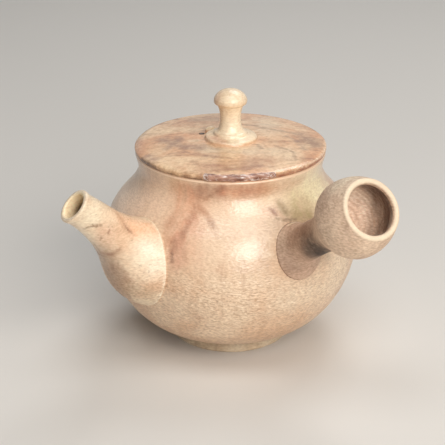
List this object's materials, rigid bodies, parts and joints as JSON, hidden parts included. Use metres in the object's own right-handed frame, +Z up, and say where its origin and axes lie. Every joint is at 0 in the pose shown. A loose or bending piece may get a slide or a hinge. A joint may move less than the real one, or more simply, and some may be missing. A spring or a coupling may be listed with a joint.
{
  "type": "side-handle teapot",
  "caption": "Round stoneware teapot with a hollow side handle, a rising spout with an inner strainer and a flat lid that lifts off by its knob.",
  "frame": {"origin": "centre of the foot on the surface the pot stands on", "axes": "+Z up along the pot's axis; -X along the spout; the handle is 80 degrees further round from the spout, towards -Y"},
  "size_m": [0.1313, 0.1443, 0.1019],
  "materials": {
    "stoneware_body": "unglazed wood-fired stoneware, satin from fly ash",
    "stoneware_foot": "unglazed stoneware, wiped clean",
    "stoneware_spout": "unglazed wood-fired stoneware, satin from fly ash",
    "stoneware_inside": "unglazed stoneware, matt",
    "stoneware_handle": "unglazed wood-fired stoneware, matt and speckled",
    "stoneware_lid": "unglazed wood-fired stoneware, satin from fly ash",
    "stoneware_knob": "unglazed wood-fired stoneware, satin from fly ash"
  },
  "bodies": {
    "pot": {"pot_body": "stoneware_body", "foot_ring": "stoneware_foot", "spout": "stoneware_spout", "strainer": "stoneware_inside", "side_handle": "stoneware_handle"},
    "lid": {"lid_plate": "stoneware_lid", "lid_flange": "stoneware_inside", "lid_knob": "stoneware_knob"}
  },
  "joints": [
    {"name": "lid_lift", "type": "slide", "parent": "pot", "child": "lid", "axis": [0, 0, 1], "range_m": [0, 0.06]}
  ]
}
